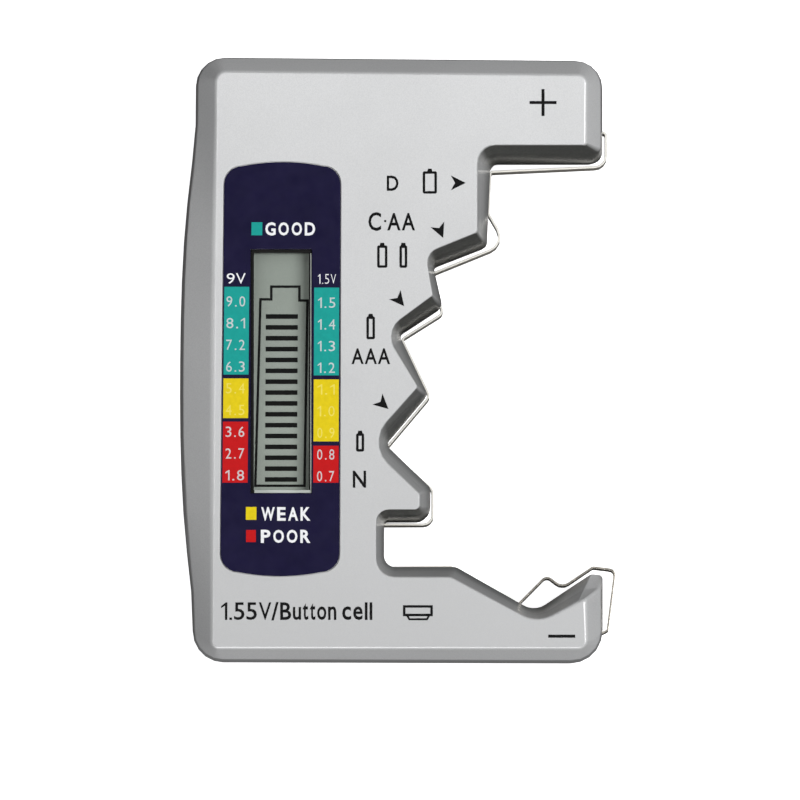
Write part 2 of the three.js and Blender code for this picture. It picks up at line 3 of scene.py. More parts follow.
import bmesh
import bpy
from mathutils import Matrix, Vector


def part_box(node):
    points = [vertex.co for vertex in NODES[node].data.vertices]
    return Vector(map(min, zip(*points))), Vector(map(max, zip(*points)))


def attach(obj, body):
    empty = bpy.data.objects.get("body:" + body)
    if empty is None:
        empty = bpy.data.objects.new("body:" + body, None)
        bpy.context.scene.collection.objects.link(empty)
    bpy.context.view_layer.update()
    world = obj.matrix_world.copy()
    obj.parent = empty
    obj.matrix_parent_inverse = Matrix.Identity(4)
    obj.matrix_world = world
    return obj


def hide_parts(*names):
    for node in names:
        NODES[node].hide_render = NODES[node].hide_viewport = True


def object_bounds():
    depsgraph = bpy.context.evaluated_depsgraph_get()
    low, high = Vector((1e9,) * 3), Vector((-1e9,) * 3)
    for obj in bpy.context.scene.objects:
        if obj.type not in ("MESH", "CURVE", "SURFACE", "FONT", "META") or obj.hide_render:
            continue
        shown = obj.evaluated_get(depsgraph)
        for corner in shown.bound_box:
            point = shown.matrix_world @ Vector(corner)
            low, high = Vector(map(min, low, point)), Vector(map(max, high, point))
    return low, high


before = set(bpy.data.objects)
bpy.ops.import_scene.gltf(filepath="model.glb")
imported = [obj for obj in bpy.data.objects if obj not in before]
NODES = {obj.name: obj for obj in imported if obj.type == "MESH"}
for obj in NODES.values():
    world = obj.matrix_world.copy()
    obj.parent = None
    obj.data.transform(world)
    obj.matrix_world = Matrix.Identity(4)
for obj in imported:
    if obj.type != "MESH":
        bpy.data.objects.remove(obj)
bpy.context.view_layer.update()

MM = 0.001
TESTER = "tester"
SPRING = "negative_spring"

# Heights in mm above the surface that the tester lies on.
CASE_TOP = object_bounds()[1].z / MM
FACE_TOP = CASE_TOP - 0.03          # the painted face, just under the printing on it
PRINT_TOP = CASE_TOP - 0.01         # the printing on the face and on the label
LABEL_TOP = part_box("display_label")[1].z / MM
GLASS_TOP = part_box("lcd_front_glass")[1].z / MM
WELD = 0.0005 * MM                  # vertices closer than this are one
FLAT = math.radians(0.05)           # faces that meet at less than this are one


# ---------------------------------------------------------------- materials

class Shader:
    """A material's node tree, with short calls for the nodes used here."""

    def __init__(self, name, **sockets):
        self.material = bpy.data.materials.new(name)
        self.material.use_nodes = True
        self.tree = self.material.node_tree
        self.surface = self.tree.nodes["Principled BSDF"]
        for socket, value in sockets.items():
            self.surface.inputs[socket.replace("_", " ")].default_value = value
        self.place = self.tree.nodes.new("ShaderNodeTexCoord").outputs["Object"]
        self.bumps = None

    def link(self, source, target):
        self.tree.links.new(source, target)

    def stretched(self, scale, turn=0.0):
        mapping = self.tree.nodes.new("ShaderNodeMapping")
        mapping.inputs["Scale"].default_value = scale
        mapping.inputs["Rotation"].default_value = (0, 0, turn)
        self.link(self.place, mapping.inputs["Vector"])
        return mapping.outputs["Vector"]

    def noise(self, size_mm, detail=2.0, place=None):
        node = self.tree.nodes.new("ShaderNodeTexNoise")
        node.inputs["Scale"].default_value = 1 / (size_mm * MM)
        node.inputs["Detail"].default_value = detail
        self.link(place or self.place, node.inputs["Vector"])
        return node.outputs["Fac"]

    def cells(self, size_mm):
        node = self.tree.nodes.new("ShaderNodeTexVoronoi")
        node.inputs["Scale"].default_value = 1 / (size_mm * MM)
        self.link(self.place, node.inputs["Vector"])
        return node

    def spread(self, value, low, high, start=0.3, end=0.7):
        """Maps start..end to low..high, clamped. The defaults are the useful range of a noise."""
        node = self.tree.nodes.new("ShaderNodeMapRange")
        limits = {"From Min": start, "From Max": end, "To Min": low, "To Max": high}
        for socket, number in limits.items():
            node.inputs[socket].default_value = number
        self.link(value, node.inputs["Value"])
        return node.outputs["Result"]

    def mixed(self, factor, first, second):
        node = self.tree.nodes.new("ShaderNodeMix")
        node.data_type = "RGBA"
        self.link(factor, node.inputs["Factor"])
        for socket, colour in ((node.inputs[6], first), (node.inputs[7], second)):
            if isinstance(colour, bpy.types.NodeSocket):
                self.link(colour, socket)
            else:
                socket.default_value = colour
        return node.outputs[2]

    def times(self, first, second):
        node = self.tree.nodes.new("ShaderNodeMath")
        node.operation = "MULTIPLY"
        self.link(first, node.inputs[0])
        self.link(second, node.inputs[1])
        return node.outputs["Value"]

    def axes(self, vector=None):
        node = self.tree.nodes.new("ShaderNodeSeparateXYZ")
        self.link(vector or self.place, node.inputs["Vector"])
        return node.outputs

    def normal(self):
        """The surface's direction, as three sockets."""
        return self.axes(self.tree.nodes.new("ShaderNodeNewGeometry").outputs["Normal"])

    def colour(self, source):
        self.link(source, self.surface.inputs["Base Color"])

    def roughness(self, source):
        self.link(source, self.surface.inputs["Roughness"])

    def round_edges(self, radius_mm):
        """Shades sharp edges as if they had this radius."""
        node = self.tree.nodes.new("ShaderNodeBevel")
        node.samples = 4
        node.inputs["Radius"].default_value = radius_mm * MM
        self.bumps = node.outputs["Normal"]

    def bump(self, height, depth_mm, strength=1.0):
        node = self.tree.nodes.new("ShaderNodeBump")
        node.inputs["Strength"].default_value = strength
        node.inputs["Distance"].default_value = depth_mm * MM
        self.link(height, node.inputs["Height"])
        if self.bumps:
            self.link(self.bumps, node.inputs["Normal"])
        self.bumps = node.outputs["Normal"]
        self.link(self.bumps, self.surface.inputs["Normal"])


def grey(level, warmth=0.0):
    return (level * (1 + warmth), level, level * (1 - warmth), 1)


def darker(colour, share):
    """The colour times this share."""
    return tuple(share * c for c in colour[:3]) + (1,)


# Painted shade on the jaw's walls and the undersides of its steps, in mm. The first number of a
# pair is where the effect ends.
SHADE_HEIGHTS = (12.5, 17.2)         # bottom of the jaw's drafted walls, and where the painted shade ends
JAW_TIP = (22, 29)                  # X: the walls are left unshaded at the ends of the jaws
JAW_LEFT = (-8, -6)                 # X
JAW_FOOT = (-43, -41.5)             # Y
JAW_HEAD = (34, 33)                 # Y
SHADE_AT_FOOT = 0.62                 # how dark the painted shade is at the bottom of the walls
SHADE_UNDER_STEPS = 0.92             # how dark the painted shade is on walls that face down the page
FACING_DOWN = (-0.75, -0.1)         # a wall's direction in Y: fully down the page, not at all
FACING_OUT = (0.45, 0.93)           # a surface's direction in Z: a wall, the face


def painted_shade(shade):
    """Painted shade, 0 to 1: darker down the jaw's walls and darkest on the undersides of the
    steps, which face away from the light."""
    x, y, z = (shade.axes()[axis] for axis in "XYZ")
    normal = shade.normal()
    depth = shade.spread(z, SHADE_AT_FOOT, 0, *(height * MM for height in SHADE_HEIGHTS))
    depth = shade.times(depth, shade.spread(x, 1, 0, *(edge * MM for edge in JAW_TIP)))
    underside = shade.spread(normal["Y"], SHADE_UNDER_STEPS, 0, *FACING_DOWN)
    underside = shade.times(underside, shade.spread(normal["Z"], 1, 0, *FACING_OUT))
    kept = [shade.spread(share, 1, 0, 0, 1) for share in (depth, underside)]
    dimmer = shade.spread(shade.times(*kept), 1, 0, 0, 1)
    for axis, (outside, inside) in ((x, JAW_LEFT), (y, JAW_FOOT), (y, JAW_HEAD)):
        dimmer = shade.times(dimmer, shade.spread(axis, 0, 1, outside * MM, inside * MM))
    return dimmer


SHADE_COLOUR = (0.030, 0.032, 0.026, 1)   # the near-black colour of the painted shade
FOOT_TO_HEAD = (-46 * MM, 46 * MM)  # the case's ends in Y
FOOT_SHADE = 0.75                   # how much darker the flat face is painted towards its foot: painted shade
EDGE_RADIUS = 0.15                  # mm


def metallic_paint(name, light, dark, roughness, with_painted_shade=False):
    """Silver lacquer on moulded plastic: metal flakes, faint orange peel and soft blotches."""
    shade = Shader(name, Metallic=0.2, IOR=1.5, Coat_Weight=1.0, Coat_Roughness=0.22)
    shade.round_edges(EDGE_RADIUS)
    flakes = shade.cells(0.11)
    flake = shade.spread(flakes.outputs["Color"], 0, 1, 0.1, 0.9)
    base = shade.mixed(flake, light, dark)
    # Darker tone for the random blotches, and also for the painted shade towards the face's foot.
    blotch_and_shade = darker(dark, 0.72)
    blotch = shade.spread(shade.noise(14, 3), -0.05, 0.12)
    base = shade.mixed(blotch, base, blotch_and_shade)
    # Painted shade: the flat face darker towards its foot, and the jaw darker where little light
    # falls.
    if with_painted_shade:
        face_shade = shade.spread(shade.axes()["Y"], FOOT_SHADE, 0, *FOOT_TO_HEAD)
        face_shade = shade.times(face_shade, shade.spread(shade.normal()["Z"], 0, 1, 0.7, 0.95))
        base = shade.mixed(face_shade, base, blotch_and_shade)
        # The jaw's walls and step undersides fade towards near black: painted shade.
        base = shade.mixed(painted_shade(shade), base, SHADE_COLOUR)
    shade.colour(base)
    shade.roughness(shade.spread(shade.noise(0.4, 3), roughness - 0.05, roughness + 0.07))
    shade.bump(shade.noise(0.9, 2), 0.012, 0.5)
    shade.bump(shade.noise(0.14, 1), 0.004, 0.5)
    return shade.material


def moulded(name, light, dark, roughness, grain_mm=0.25, depth=0.01, metal=0.0, **sockets):
    """Plain plastic, resin or rubber with a fine surface grain."""
    shade = Shader(name, Metallic=metal, **sockets)
    shade.colour(shade.mixed(shade.spread(shade.noise(3, 3), 0, 1), light, dark))
    shade.roughness(shade.spread(shade.noise(grain_mm * 3, 3), roughness - 0.06, roughness + 0.06))
    shade.bump(shade.noise(grain_mm, 2), depth, 0.6)
    return shade.material


METAL_SHARE = 0.75                  # the rest scatters light, as a worn and greasy surface does
# Pale colour on the strip's up-facing sheared edges: a painted reflection of the overhead light.
EDGE_GLINT = (0.90, 0.88, 0.82, 1)
EDGE_UP = (0.75, 0.92)              # a surface's direction in Z: strip, sheared edge


def rolled_metal(name, light, dark, roughness, scale=(1, 1, 12), tarnish=0.35, sheared=False):
    """Plated strip: rolling lines along the strip, faint tarnish, and its up-facing sheared edges
    painted pale and matt, a painted reflection of the overhead light."""
    shade = Shader(name, Metallic=METAL_SHARE)
    lines = shade.noise(1.2, 4, shade.stretched(scale))
    stain = shade.spread(shade.noise(2.5, 4), 0, tarnish, 0.45, 0.75)
    base = shade.mixed(shade.spread(lines, 0, 1), light, dark)
    base = shade.mixed(stain, base, darker(dark, 0.6))
    if sheared:
        # Faces that point up, the sheared edges, get the painted reflection: pale and matt.
        up = shade.normal()["Z"]
        base = shade.mixed(shade.spread(up, 0, 1, *EDGE_UP), base, EDGE_GLINT)
        shade.link(shade.spread(up, METAL_SHARE, 0, *EDGE_UP), shade.surface.inputs["Metallic"])
    shade.colour(base)
    shade.roughness(shade.spread(lines, roughness - 0.05, roughness + 0.12))
    shade.bump(lines, 0.006, 0.5)
    return shade.material


def printed(name, colour, roughness=0.42, **sockets):
    """Screen-printed ink: a dense film with slight unevenness."""
    shade = Shader(name, Specular_IOR_Level=0.12, **sockets)
    dimmer = darker(colour, 0.9)
    shade.colour(shade.mixed(shade.spread(shade.noise(0.6, 3), 0, 1), colour, dimmer))
    shade.roughness(shade.spread(shade.noise(0.3, 2), roughness - 0.05, roughness + 0.08))
    shade.bump(shade.noise(0.12, 1), 0.003, 0.4)
    return shade.material


SILVER = metallic_paint("silver_paint", grey(0.77, -0.008), grey(0.69, -0.010), 0.42, with_painted_shade=True)
REAR_SILVER = metallic_paint("rear_silver_paint", grey(0.66, -0.012), grey(0.58, -0.012), 0.45)
NAVY = moulded("navy_label_film", (0.0100, 0.0078, 0.040, 1), (0.0065, 0.0050, 0.031, 1), 0.38,
               0.4, 0.004, Specular_IOR_Level=0.12)
INK = printed("black_ink", (0.003, 0.003, 0.0035, 1), 0.55)
WHITE_INK = printed("white_ink", (0.90, 0.91, 0.93, 1))
NUMBER_INK = printed("number_ink", (0.88, 0.92, 0.94, 1), Alpha=0.66)
FAINT_INK = printed("pale_ink", (0.88, 0.75, 0.12, 1))
TEAL_INK = printed("teal_ink", (0.010, 0.355, 0.315, 1))
YELLOW_INK = printed("yellow_ink", (0.80, 0.62, 0.008, 1))
RED_INK = printed("red_ink", (0.57, 0.007, 0.009, 1))
BLACK = moulded("black_plastic", grey(0.006), grey(0.003), 0.45, 0.3, 0.006,
                Specular_IOR_Level=0.15)
SEGMENT = moulded("lcd_segment", grey(0.003), grey(0.006), 0.4, 0.5, 0.001,
                  Specular_IOR_Level=0.1)
# The pale grey-green of the painted highlight along the window's edge.
HIGHLIGHT_PAINT = moulded("window_painted_highlight", (0.62, 0.66, 0.62, 1), (0.5, 0.54, 0.5, 1), 0.2, 0.5, 0.002)
NICKEL = rolled_metal("nickel_strip", (0.80, 0.77, 0.70, 1), (0.62, 0.59, 0.52, 1), 0.36,
                      sheared=True)
SPRING_STEEL = rolled_metal("spring_strip", (0.74, 0.70, 0.62, 1), (0.55, 0.51, 0.45, 1), 0.22)
SCREW = rolled_metal("screw_steel", grey(0.62), grey(0.45), 0.28, (1, 1, 1), 0.5)
FOAM = moulded("foam", grey(0.03), grey(0.015), 0.9, 0.35, 0.08)
ZEBRA = moulded("zebra_rubber", grey(0.06), grey(0.03), 0.7, 0.2, 0.02)
RESIN = moulded("black_resin", grey(0.008), grey(0.014), 0.22, 0.8, 0.02)
FERRITE = moulded("ferrite", grey(0.035), grey(0.02), 0.6, 0.2, 0.03)
SLEEVE = moulded("capacitor_sleeve", (0.012, 0.022, 0.085, 1), (0.008, 0.015, 0.06, 1), 0.3,
                 0.5, 0.004)
REFLECTOR = moulded("reflector_film", grey(0.5), grey(0.42), 0.35, 0.3, 0.006, 0.5)
RED_LEAD = moulded("red_lead", (0.42, 0.012, 0.010, 1), (0.33, 0.008, 0.008, 1), 0.4, 0.3, 0.006)
BLACK_LEAD = moulded("black_lead", grey(0.012), grey(0.008), 0.4, 0.3, 0.006)


def display_glass():
    """Reflective LCD: grey-green, with painted shade that darkens it towards its upper left."""
    shade = Shader("lcd_glass", Roughness=0.16, IOR=1.5)
    turned = shade.axes(shade.stretched((1, 1, 1), math.radians(-20)))
    # Painted shade: lighter and darker greens blended across the display.
    shade_drift = shade.spread(turned["Y"], 0, 1, -24 * MM, 24 * MM)
    grain = shade.spread(shade.noise(0.25, 2), 0, 1)
    light = shade.mixed(grain, (0.52, 0.58, 0.52, 1), (0.48, 0.54, 0.48, 1))
    dark = shade.mixed(grain, (0.40, 0.445, 0.40, 1), (0.375, 0.42, 0.375, 1))
    shade.colour(shade.mixed(shade_drift, light, dark))
    shade.bump(shade.noise(4, 2), 0.01, 0.3)
    return shade.material


def clear_lens():
    shade = Shader("clear_lens", Base_Color=(0.02, 0.024, 0.022, 1), IOR=1.49, Alpha=0.08)
    shade.roughness(shade.spread(shade.noise(6, 3), 0.05, 0.11))
    shade.bump(shade.noise(9, 2), 0.02, 0.3)
    return shade.material


def circuit_laminate():
    """Green solder mask over copper tracks, with tinned lands."""
    shade = Shader("board_laminate", Specular_IOR_Level=0.6)
    tracks = shade.cells(2.2)
    tracks.distance = "CHEBYCHEV"
    tracks.feature = "F1"
    track = shade.spread(tracks.outputs["Distance"], 1, 0, 0.30, 0.34)
    mask = shade.mixed(track, (0.010, 0.100, 0.035, 1), (0.022, 0.190, 0.060, 1))
    lands = shade.cells(1.9)
    lands.inputs["Randomness"].default_value = 0.6
    land = shade.spread(lands.outputs["Distance"], 1, 0, 0.10, 0.13)
    shade.colour(shade.mixed(land, mask, (0.60, 0.58, 0.55, 1)))
    shade.roughness(shade.spread(shade.noise(0.5, 2), 0.28, 0.4))
    shade.bump(track, 0.03, 0.6)
    return shade.material


RESISTOR_ENDS = (-17.25 * MM, -10.75 * MM)


def banded_resistor():
    """Beige lacquer with colour bands round the body, which lies along Y."""
    shade = Shader("resistor_body", Roughness=0.35)
    ramp = shade.tree.nodes.new("ShaderNodeValToRGB")
    ramp.color_ramp.interpolation = "CONSTANT"
    beige, brown = (0.56, 0.42, 0.22, 1), (0.20, 0.06, 0.02, 1)
    black, red, gold = (0.01, 0.01, 0.01, 1), (0.5, 0.02, 0.02, 1), (0.55, 0.38, 0.06, 1)
    bands = [(0.25, brown), (0.32, beige), (0.42, black), (0.49, beige), (0.58, red),
             (0.65, beige), (0.76, gold), (0.83, beige)]
    ramp.color_ramp.elements[0].color = beige
    ramp.color_ramp.elements[1].position = bands[0][0]
    ramp.color_ramp.elements[1].color = bands[0][1]
    for position, colour in bands[1:]:
        ramp.color_ramp.elements.new(position).color = colour
    shade.link(shade.spread(shade.axes()["Y"], 0, 1, *RESISTOR_ENDS), ramp.inputs["Fac"])
    tint = shade.spread(shade.noise(0.5, 2), 0, 0.15)
    shade.colour(shade.mixed(tint, ramp.outputs["Color"], (0.3, 0.2, 0.1, 1)))
    return shade.material


def paint(node, material):
    """Gives a CAD node this material alone."""
    mesh = NODES[node].data
    mesh.materials.clear()
    mesh.materials.append(material)


# ---------------------------------------------------------------- pieces

def link_piece(name, mesh, material, body=TESTER):
    piece = bpy.data.objects.new(name, mesh)
    bpy.context.scene.collection.objects.link(piece)
    mesh.materials.clear()
    mesh.materials.append(material)
    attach(piece, body)
    return piece


def finished(name, node, material, body=TESTER, edge=0.0, angle=30, lower_face=False):
    """A copy of a CAD node with merged flats and smooth curves. Edges sharper than the angle, in
    degrees, stay sharp; edge rounds them, in mm. lower_face makes room for the printing."""
    mesh = NODES[node].data.copy()
    mesh.name = name
    form = bmesh.new()
    form.from_mesh(mesh)
    bmesh.ops.remove_doubles(form, verts=form.verts, dist=WELD)
    if lower_face:
        for vert in form.verts:
            if vert.co.z > (CASE_TOP - 0.01) * MM:
                vert.co.z = FACE_TOP * MM
    bmesh.ops.dissolve_limit(form, angle_limit=FLAT, verts=form.verts, edges=form.edges)
    bmesh.ops.recalc_face_normals(form, faces=form.faces)
    for face in form.faces:
        face.smooth = True
    for rib in form.edges:
        rib.smooth = rib.calc_face_angle(0.0) < math.radians(angle)
    form.to_mesh(mesh)
    form.free()
    piece = link_piece(name, mesh, material, body)
    if edge:
        bevel = piece.modifiers.new("edge", "BEVEL")
        bevel.width = edge * MM
        bevel.segments = 2
        bevel.limit_method = "ANGLE"
        bevel.angle_limit = math.radians(angle)
    weighted = piece.modifiers.new("shading", "WEIGHTED_NORMAL")
    weighted.keep_sharp = not edge
    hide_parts(node)
    return piece


# Width and height of the characters against a capital letter.
WIDTHS = {"1": 0.6, ".": 0.26, "V": 1.2, "u": 0.75, "t": 0.5, "o": 0.85, "n": 0.75, "c": 0.8,
          "e": 0.85, "l": 0.24, "W": 1.35, "E": 0.85, "P": 0.9, "R": 0.95}
HEIGHTS = {"u": 0.74, "o": 0.77, "n": 0.77, "c": 0.77, "e": 0.77, "t": 0.95}


class Sheet:
    """Thin printed or cut shapes, gathered into one mesh. Positions in mm."""

    def __init__(self, low, high):
        self.low = low * MM
        self.high = high * MM
        self.verts = []
        self.faces = []

    def outline(self, points):
        """A closed polygon, anticlockwise, as a thin plate."""
        count = len(points)
        first = len(self.verts)
        self.verts += [(x * MM, y * MM, self.low) for x, y in points]
        self.verts += [(x * MM, y * MM, self.high) for x, y in points]
        self.faces.append([first + i for i in reversed(range(count))])
        self.faces.append([first + count + i for i in range(count)])
        for i in range(count):
            j = (i + 1) % count
            self.faces.append([first + i, first + j, first + count + j, first + count + i])

    def band(self, points, width, closed=True):
        """A line of this width whose outer edge follows the anticlockwise points."""
        count = len(points)
        inner = []
        for i, point in enumerate(points):
            before = Vector(points[i - 1]) if closed or i else None
            after = Vector(points[(i + 1) % count]) if closed or i + 1 < count else None
            here = Vector(point)
            sides = []
            if before is not None:
                sides.append((here - before).normalized())
            if after is not None:
                sides.append((after - here).normalized())
            normals = [Vector((-s.y, s.x)) for s in sides]
            middle = sum(normals, Vector((0, 0))).normalized()
            inner.append(here + middle * (width / middle.dot(normals[0])))
        for i in range(count if closed else count - 1):
            j = (i + 1) % count
            self.outline([points[i], points[j], tuple(inner[j]), tuple(inner[i])])

    def block(self, left, bottom, right, top):
        self.outline([(left, bottom), (right, bottom), (right, top), (left, top)])

    def letter(self, character, left, bottom, right, top, weight=0.0):
        """One character stretched to fill this box."""
        curve = bpy.data.curves.new("lettering", "FONT")
        curve.body = character
        curve.offset = weight
        curve.resolution_u = 3
        curve.extrude = 0.02
        holder = bpy.data.objects.new("lettering", curve)
        bpy.context.scene.collection.objects.link(holder)
        graph = bpy.context.evaluated_depsgraph_get()
        mesh = bpy.data.meshes.new_from_object(holder.evaluated_get(graph))
        bpy.data.objects.remove(holder)
        bpy.data.curves.remove(curve)
        points = [v.co.copy() for v in mesh.vertices]
        low = [min(p[k] for p in points) for k in range(2)]
        high = [max(p[k] for p in points) for k in range(2)]
        first = len(self.verts)
        for p in points:
            x = left + (p.x - low[0]) / (high[0] - low[0]) * (right - left)
            y = bottom + (p.y - low[1]) / (high[1] - low[1]) * (top - bottom)
            self.verts.append((x * MM, y * MM, self.high if p.z > 0 else self.low))
        self.faces += [[first + i for i in polygon.vertices] for polygon in mesh.polygons]
        bpy.data.meshes.remove(mesh)

    def words(self, words, left, bottom, right, top, stroke, gap, weight=0.0):
        """A line of narrow lettering that fills this box, with this gap between characters.
        Figure one, l and the point are drawn as bars of the stroke's width."""
        widths = [WIDTHS.get(character, 1.0) for character in words]
        unit = (right - left - gap * (len(words) - 1)) / sum(widths)
        for character, width in zip(words, widths):
            end = left + unit * width
            rise = bottom + (top - bottom) * HEIGHTS.get(character, 1.0)
            if character in ".l":
                self.block(left, bottom, end, bottom + stroke if character == "." else top)
            elif character == "1":
                flag = top - 0.22 * (top - bottom)
                self.outline([(end - stroke, bottom), (end, bottom), (end, top),
                              (end - 0.7 * stroke, top), (left, flag), (left, flag - 0.8 * stroke),
                              (end - stroke, top - 1.4 * stroke)])
            else:
                self.letter(character, left, bottom, end, rise, weight)
            left = end + gap

    def piece(self, name, material, slot):
        mesh = bpy.data.meshes.new(name)
        mesh.from_pydata(self.verts, [], self.faces)
        form = bmesh.new()
        form.from_mesh(mesh)
        bmesh.ops.remove_doubles(form, verts=form.verts, dist=WELD)
        bmesh.ops.recalc_face_normals(form, faces=form.faces)
        form.to_mesh(mesh)
        form.free()
        return link_piece(name, mesh, material)


# ---------------------------------------------------------------- case and contacts

finished("front_case", "front_shell", SILVER, lower_face=True)
finished("rear_case", "rear_shell", REAR_SILVER)
for node in ("positive_contact_strip", "button_cell_contact", "nine_volt_positive_contact",
             "nine_volt_negative_contact"):
    finished(node.replace("contact", "plate"), node, NICKEL, edge=0.1, angle=50)
finished("negative_spring_loop", "negative_spring_contact", SPRING_STEEL, SPRING,
         edge=0.06, angle=50)

# ---------------------------------------------------------------- printing on the face

CELL_LINE = 0.38                    # mm, as all sizes and places below
CELL_CORNER = 0.18
NUB_TOP, NUB_FOOT, NUB_HEIGHT = 0.55, 0.77, 0.40
ARROW = 2.25                        # length and width of an arrowhead
PLUS = (22.0, 38.72)
MINUS = (24.80, -42.44)
ARM = 2.05                          # half the length of the plus and minus strokes
HALF_LINE = 0.23                    # half their width
BOLD = 0.016                        # outward offset that makes the thin built-in letters bolder


def cell_icon(sheet, x, y, width, height):
    """A cylindrical cell standing on its base, with its positive nub on top."""
    left, right = x - width / 2, x + width / 2
    low, high = y - height / 2, y + height / 2
    corner = CELL_CORNER
    sheet.band([(left + corner, low), (right - corner, low), (right, low + corner),
                (right, high - corner), (right - corner, high), (left + corner, high),
                (left, high - corner), (left, low + corner)], CELL_LINE)
    foot, tip = NUB_FOOT / 2, NUB_TOP / 2
    sheet.outline([(x - foot, high - 0.02), (x + foot, high - 0.02), (x + tip, high + NUB_HEIGHT),
                   (x - tip, high + NUB_HEIGHT)])


def arrowhead(sheet, tip, direction):
    """A swept arrowhead, as beside each step of the jaw. Direction in degrees from +X."""
    along = Vector((math.cos(math.radians(direction)), math.sin(math.radians(direction))))
    across = Vector((-along.y, along.x))
    corners = [(0, 0), (-1, 0.5), (-0.72, 0), (-1, -0.5)]
    sheet.outline([tuple(Vector(tip) + ARROW * (along * a + across * b)) for a, b in corners])


legend = Sheet(FACE_TOP - 0.02, PRINT_TOP)
legend.block(PLUS[0] - ARM, PLUS[1] - HALF_LINE, PLUS[0] + ARM, PLUS[1] + HALF_LINE)
legend.block(PLUS[0] - HALF_LINE, PLUS[1] + HALF_LINE, PLUS[0] + HALF_LINE, PLUS[1] + ARM)
legend.block(PLUS[0] - HALF_LINE, PLUS[1] - ARM, PLUS[0] + HALF_LINE, PLUS[1] - HALF_LINE)
legend.block(MINUS[0] - ARM, MINUS[1] - HALF_LINE, MINUS[0] + ARM, MINUS[1] + HALF_LINE)
legend.letter("D", -1.73, 25.27, 0.04, 27.59, BOLD)
cell_icon(legend, 4.80, 26.55, 2.16, 3.40)
arrowhead(legend, (10.25, 26.48), 0)
legend.letter("C", -4.53, 19.18, -2.60, 22.03, BOLD)
legend.block(-2.13, 20.52, -1.83, 20.82)
legend.words("AA", -1.66, 19.25, 2.56, 21.90, 0.35, 0.18, BOLD)
cell_icon(legend, -2.42, 15.26, 1.56, 3.40)
cell_icon(legend, 0.78, 15.26, 1.18, 3.40)
arrowhead(legend, (6.83, 18.10), -67)
cell_icon(legend, -4.18, 4.42, 1.30, 3.47)
legend.words("AAA", -7.09, -1.09, -1.23, 1.31, 0.35, 0.15, BOLD)
arrowhead(legend, (0.90, 7.72), -51)
cell_icon(legend, -5.78, -13.01, 1.22, 2.78)
legend.letter("N", -6.89, -19.88, -4.88, -17.30, BOLD)
arrowhead(legend, (-1.48, -7.92), -42)
legend.words("1.55V", -26.87, -39.97, -19.25, -37.30, 0.36, 0.30, 0.008)
legend.letter("/", -19.25, -40.05, -18.15, -37.25, BOLD)
legend.words("Button", -17.90, -39.97, -9.39, -37.30, 0.38, 0.26, BOLD)
legend.words("cell", -8.50, -39.97, -3.93, -37.30, 0.38, 0.32, BOLD)
legend.band([(0.72, -39.41), (5.25, -39.41), (5.25, -37.73), (0.72, -37.73)], CELL_LINE)
legend.band([(1.25, -39.41), (1.60, -40.02), (4.45, -40.02), (4.80, -39.41)], 0.3, closed=False)
legend.piece("face_legend", INK, "black_plastic")

# ---------------------------------------------------------------- scale label

BLOCK_TOP = LABEL_TOP + 0.006
LEFT, RIGHT = (-26.52, -22.72), (-12.82, -9.00)   # the two columns in X
LABEL_LEFT, LABEL_WIDTH = -26.7, 17.85
LABEL_MIDDLE, LABEL_HALF = -1.8, 31.5             # in Y
LEAN_LEFT, LEAN_RIGHT = 0.3, 0.1                  # how far the label's edges lean outwards


def slanted(x, y):
    """The label widens a little towards its lower end, and its columns with it."""
    across = (x - LABEL_LEFT) / LABEL_WIDTH
    lean = LEAN_LEFT - (LEAN_LEFT - LEAN_RIGHT) * across
    return (x + (y - LABEL_MIDDLE) / LABEL_HALF * lean, y)


def scale_blocks(name, material, blocks):
    """Coloured blocks, each given as its two edges in X and its two edges in Y."""
    sheet = Sheet(LABEL_TOP - 0.05, BLOCK_TOP)
    for (left, right), (bottom, top) in blocks:
        corners = [(left, bottom), (right, bottom), (right, top), (left, top)]
        sheet.outline([slanted(*corner) for corner in corners])
    sheet.piece(name, material, "label_film")


scale_blocks("good_blocks", TEAL_INK, [
    (LEFT, (-2.68, 10.67)), (RIGHT, (-2.81, 10.55)), ((-22.46, -20.80), (18.50, 20.49))])
scale_blocks("weak_blocks", YELLOW_INK, [
    (LEFT, (-9.30, -3.27)), (RIGHT, (-12.84, -3.42)), ((-22.94, -21.35), (-24.76, -22.80))])
scale_blocks("poor_blocks", RED_INK, [
    (LEFT, (-19.12, -9.84)), (RIGHT, (-19.12, -13.50)), ((-22.88, -21.41), (-28.15, -26.30))])

words = Sheet(BLOCK_TOP - 0.01, PRINT_TOP)
words.words("GOOD", -20.19, 18.47, -12.61, 20.49, 0.4, 0.42, 0.03)
words.words("WEAK", -20.79, -24.90, -13.31, -22.83, 0.4, 0.36, 0.03)
words.words("POOR", -20.85, -28.27, -13.32, -26.27, 0.4, 0.42, 0.03)
words.words("9V", -26.05, 11.13, -23.17, 12.74, 0.2, 0.2)
words.words("1.5V", -12.20, 11.13, -9.45, 12.60, 0.15, 0.25, -0.012)

# The two columns of voltages: middle and width in X, the first row and the pitch in Y, the first
# value and the step, and the rows on yellow, which are pale.
COLUMNS = ((-24.66, 2.85, 8.45, 3.304, 9.0, 0.9, (4, 5)),
           (-10.86, 2.62, 8.25, 3.298, 1.5, 0.1, (4, 5, 6)))
ROWS = 9
DIGIT_HEIGHT = 1.57
ROW_LEAN = -0.02                    # each row lies this much further left than the one above
digits = Sheet(BLOCK_TOP - 0.01, PRINT_TOP)
faint = Sheet(BLOCK_TOP - 0.01, PRINT_TOP)
for middle, width, first, pitch, value, step, pale in COLUMNS:
    for row in range(ROWS):
        x, y = middle + ROW_LEAN * row, first - row * pitch
        sheet = faint if row in pale else digits
        sheet.words(f"{value - row * step:.1f}", x - width / 2, y - DIGIT_HEIGHT / 2,
                    x + width / 2, y + DIGIT_HEIGHT / 2, 0.22, 0.42)
words.piece("label_lettering", WHITE_INK, "label_film")
